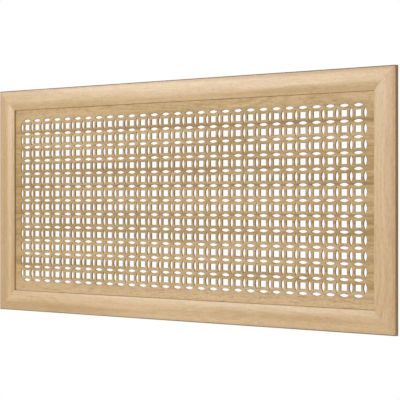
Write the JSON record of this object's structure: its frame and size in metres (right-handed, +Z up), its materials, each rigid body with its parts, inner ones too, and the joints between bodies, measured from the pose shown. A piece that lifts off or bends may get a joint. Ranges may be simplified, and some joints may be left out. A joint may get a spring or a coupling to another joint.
{
  "type": "radiator screen",
  "caption": "Flat radiator screen: mitred mouldings around a board perforated with interlocking circles, hung over the radiator by height-adjustable hooks behind the top rail.",
  "frame": {"origin": "middle of the bottom edge face, half way through the thickness of the mouldings", "axes": "+X along the width to the right as seen from the front, +Z up, the front faces -Y"},
  "size_m": [1.2, 0.08, 0.6],
  "materials": {
    "oak_foil_moulding": "light oak foil, satin, grain along each moulding",
    "oak_foil_board": "light oak foil on the front, satin, grain across; raw brown fibreboard in the holes and on the back",
    "beech": "plain, unfinished",
    "zinc_steel": "bright zinc plate",
    "clear_rubber": "milky translucent"
  },
  "bodies": {
    "screen": {"top_rail": "oak_foil_moulding", "bottom_rail": "oak_foil_moulding", "left_stile": "oak_foil_moulding", "right_stile": "oak_foil_moulding", "perforated_panel": "oak_foil_board", "mitre_dowels_bottom_left": "beech", "corner_plate_bottom_left": "zinc_steel", "corner_plate_screws_bottom_left": "zinc_steel", "mitre_dowels_bottom_right": "beech", "corner_plate_bottom_right": "zinc_steel", "corner_plate_screws_bottom_right": "zinc_steel", "mitre_dowels_top_right": "beech", "corner_plate_top_right": "zinc_steel", "corner_plate_screws_top_right": "zinc_steel", "mitre_dowels_top_left": "beech", "corner_plate_top_left": "zinc_steel", "corner_plate_screws_top_left": "zinc_steel", "hook_washers_left": "zinc_steel", "hook_screws_left": "zinc_steel", "bumper_left": "clear_rubber", "hook_washers_right": "zinc_steel", "hook_screws_right": "zinc_steel", "bumper_right": "clear_rubber"},
    "hook_left": {"hanging_hook_left": "zinc_steel"},
    "hook_right": {"hanging_hook_right": "zinc_steel"}
  },
  "joints": [
    {"name": "hook_left_height", "type": "slide", "parent": "screen", "child": "hook_left", "axis": [0, 0, 1], "range_m": [0, 0.015]},
    {"name": "hook_right_height", "type": "slide", "parent": "screen", "child": "hook_right", "axis": [0, 0, 1], "range_m": [0, 0.015]}
  ]
}
